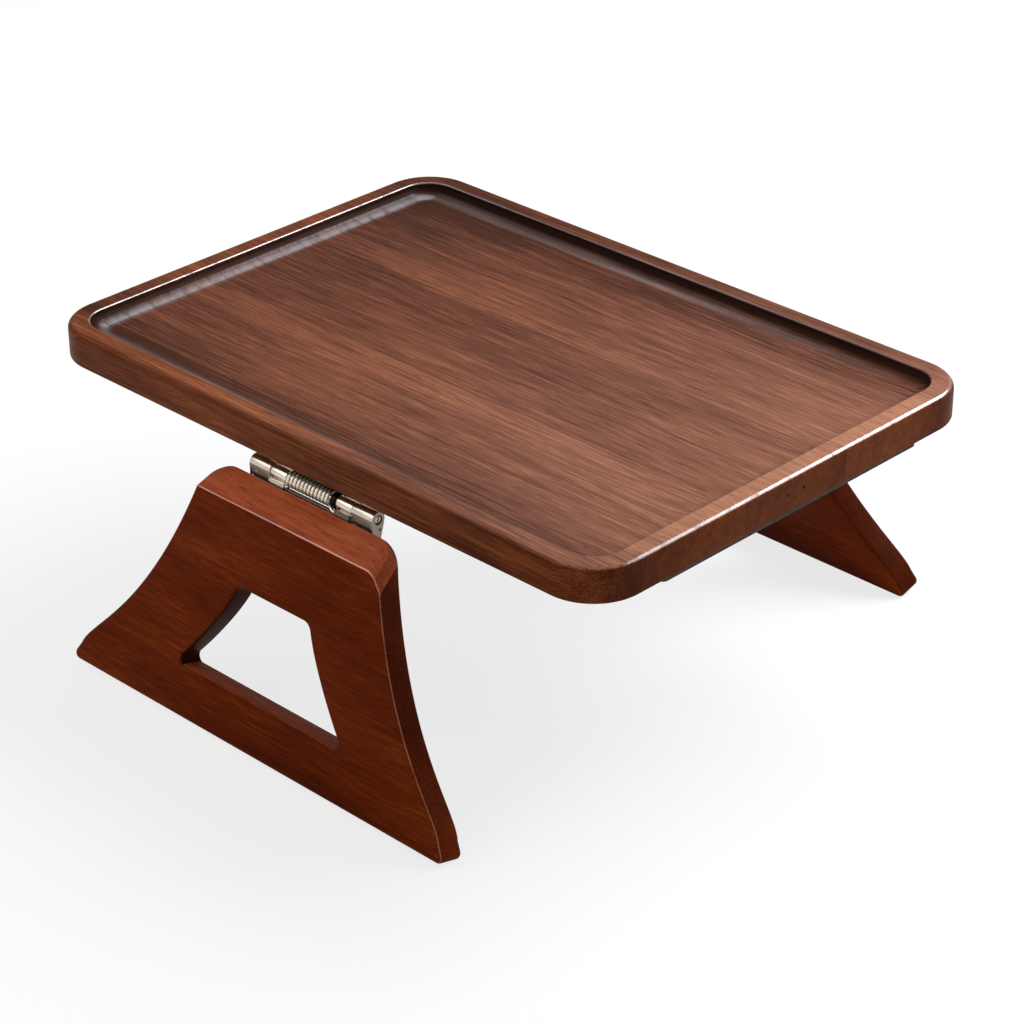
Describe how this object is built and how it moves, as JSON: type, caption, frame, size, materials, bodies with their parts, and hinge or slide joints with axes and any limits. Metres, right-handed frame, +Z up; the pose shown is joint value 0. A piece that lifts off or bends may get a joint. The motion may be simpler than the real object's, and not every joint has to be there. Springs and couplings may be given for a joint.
{
  "type": "sofa arm tray table",
  "caption": "Rectangular wooden tray with a sunk top on splayed, spring-hinged legs that fold flat or press against a sofa arm.",
  "frame": {"origin": "on the ground, under the middle of the tray, with both legs spread to their stops", "axes": "+X along the tray's long side, +Y across it from the front leg to the back leg, +Z up"},
  "size_m": [0.35, 0.3264, 0.1473],
  "materials": {
    "tray_wood": "satin walnut stain, grain along the long side",
    "leg_wood": "satin red-brown stain, grain along the leg's width",
    "grip_rubber": "matt",
    "nickel_steel": "nickel plated",
    "bright_steel": "bright",
    "dark_steel": "dark oxide"
  },
  "bodies": {
    "tray": {"tray_board": "tray_wood", "left_grip_strip": "grip_rubber", "right_grip_strip": "grip_rubber", "front_hinge_tray_leaf": "nickel_steel", "front_tray_screw_1": "bright_steel", "front_tray_screw_2": "bright_steel", "front_tray_screw_3": "bright_steel", "front_tray_screw_4": "bright_steel", "back_hinge_tray_leaf": "nickel_steel", "back_tray_screw_1": "bright_steel", "back_tray_screw_2": "bright_steel", "back_tray_screw_3": "bright_steel", "back_tray_screw_4": "bright_steel"},
    "front_leg_body": {"front_leg": "leg_wood", "front_hinge_leg_leaf": "nickel_steel", "front_hinge_pin": "bright_steel", "front_hinge_spring": "bright_steel", "front_hinge_collar": "dark_steel", "front_leg_screw_1": "bright_steel", "front_leg_screw_2": "bright_steel", "front_leg_screw_3": "bright_steel", "front_leg_screw_4": "bright_steel"},
    "back_leg_body": {"back_leg": "leg_wood", "back_hinge_leg_leaf": "nickel_steel", "back_hinge_pin": "bright_steel", "back_hinge_spring": "bright_steel", "back_hinge_collar": "dark_steel", "back_leg_screw_1": "bright_steel", "back_leg_screw_2": "bright_steel", "back_leg_screw_3": "bright_steel", "back_leg_screw_4": "bright_steel"}
  },
  "joints": [
    {"name": "front_leg_hinge", "type": "hinge", "parent": "tray", "child": "front_leg_body", "pos_m": [0, -0.1165, 0.11976], "axis": [1, 0, 0], "range_deg": [0, 105], "stiffness_Nm_per_rad": 0.02, "springref_deg": 126.05},
    {"name": "back_leg_hinge", "type": "hinge", "parent": "tray", "child": "back_leg_body", "pos_m": [0, 0.1165, 0.11976], "axis": [-1, 0, 0], "range_deg": [0, 97], "stiffness_Nm_per_rad": 0.02, "springref_deg": 126.05}
  ]
}
